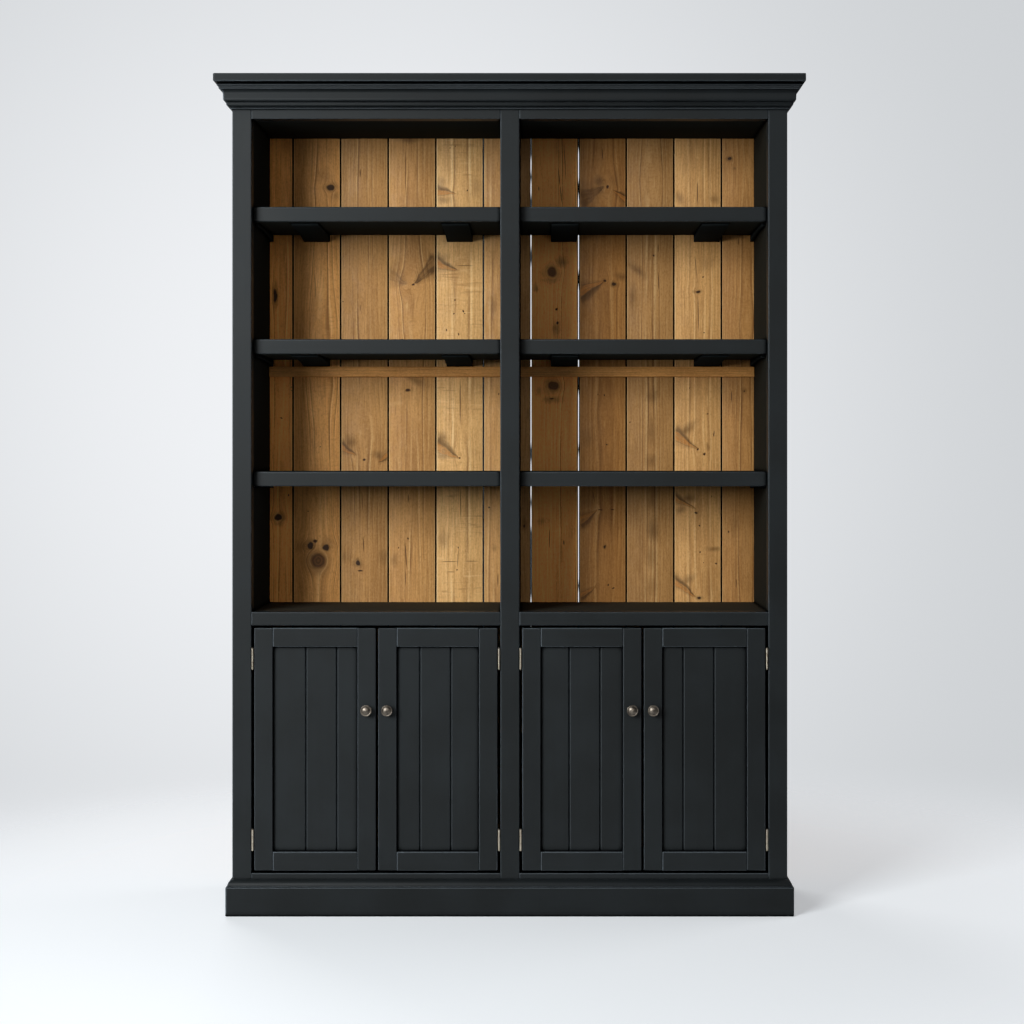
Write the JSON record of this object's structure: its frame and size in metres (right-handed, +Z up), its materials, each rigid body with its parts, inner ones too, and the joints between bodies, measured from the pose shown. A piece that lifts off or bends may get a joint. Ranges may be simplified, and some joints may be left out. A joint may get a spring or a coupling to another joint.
{
  "type": "library bookcase",
  "caption": "Painted timber bookcase with open shelves over hinged panelled cupboard doors, a stepped cornice, a plinth and a natural plank back.",
  "frame": {"origin": "on the floor under the middle of the bounding box", "axes": "+Z up, the front faces -Y, +X to the right as seen from the front"},
  "size_m": [1.388, 0.349, 1.98],
  "materials": {
    "painted_wood": "satin dark slate paint",
    "waxed_pine": "waxed knotty pine",
    "knob_metal": "antique pewter",
    "hinge_metal": "satin nickel",
    "catch_plastic": "moulded brown"
  },
  "bodies": {
    "case": {"back_boards": "waxed_pine", "back_rails": "waxed_pine", "bottom_rails": "painted_wood", "cornice_front": "painted_wood", "cornice_return_left": "painted_wood", "cornice_return_right": "painted_wood", "cupboard_floors": "painted_wood", "cupboard_ledgers": "painted_wood", "cupboard_shelves": "painted_wood", "decks": "painted_wood", "divider": "painted_wood", "door_catches": "catch_plastic", "end_cleats": "painted_wood", "frieze_rails": "painted_wood", "hinge_post_leaves": "hinge_metal", "middle_rails": "painted_wood", "plinth_front": "painted_wood", "plinth_return_left": "painted_wood", "plinth_return_right": "painted_wood", "post_centre": "painted_wood", "post_left": "painted_wood", "post_right": "painted_wood", "shelf_bearers": "painted_wood", "shelf_left_lower": "painted_wood", "shelf_left_middle": "painted_wood", "shelf_left_upper": "painted_wood", "shelf_right_lower": "painted_wood", "shelf_right_middle": "painted_wood", "shelf_right_upper": "painted_wood", "side_left": "painted_wood", "side_right": "painted_wood", "top_board": "painted_wood", "top_panels": "painted_wood"},
    "door_1": {"door_1_fittings": "knob_metal", "door_1_panel": "painted_wood", "door_1_rails": "painted_wood", "door_1_stiles": "painted_wood"},
    "door_2": {"door_2_fittings": "knob_metal", "door_2_panel": "painted_wood", "door_2_rails": "painted_wood", "door_2_stiles": "painted_wood"},
    "door_3": {"door_3_fittings": "knob_metal", "door_3_panel": "painted_wood", "door_3_rails": "painted_wood", "door_3_stiles": "painted_wood"},
    "door_4": {"door_4_fittings": "knob_metal", "door_4_panel": "painted_wood", "door_4_rails": "painted_wood", "door_4_stiles": "painted_wood"}
  },
  "joints": [
    {"name": "door_1_hinge", "type": "hinge", "parent": "case", "child": "door_1", "pos_m": [-0.607, -0.1365, 0.39175], "axis": [0, 0, -1], "range_deg": [0, 170]},
    {"name": "door_2_hinge", "type": "hinge", "parent": "case", "child": "door_2", "pos_m": [-0.0255, -0.1365, 0.39175], "axis": [0, 0, 1], "range_deg": [0, 90]},
    {"name": "door_3_hinge", "type": "hinge", "parent": "case", "child": "door_3", "pos_m": [0.0255, -0.1365, 0.39175], "axis": [0, 0, -1], "range_deg": [0, 90]},
    {"name": "door_4_hinge", "type": "hinge", "parent": "case", "child": "door_4", "pos_m": [0.607, -0.1365, 0.39175], "axis": [0, 0, 1], "range_deg": [0, 170]}
  ]
}
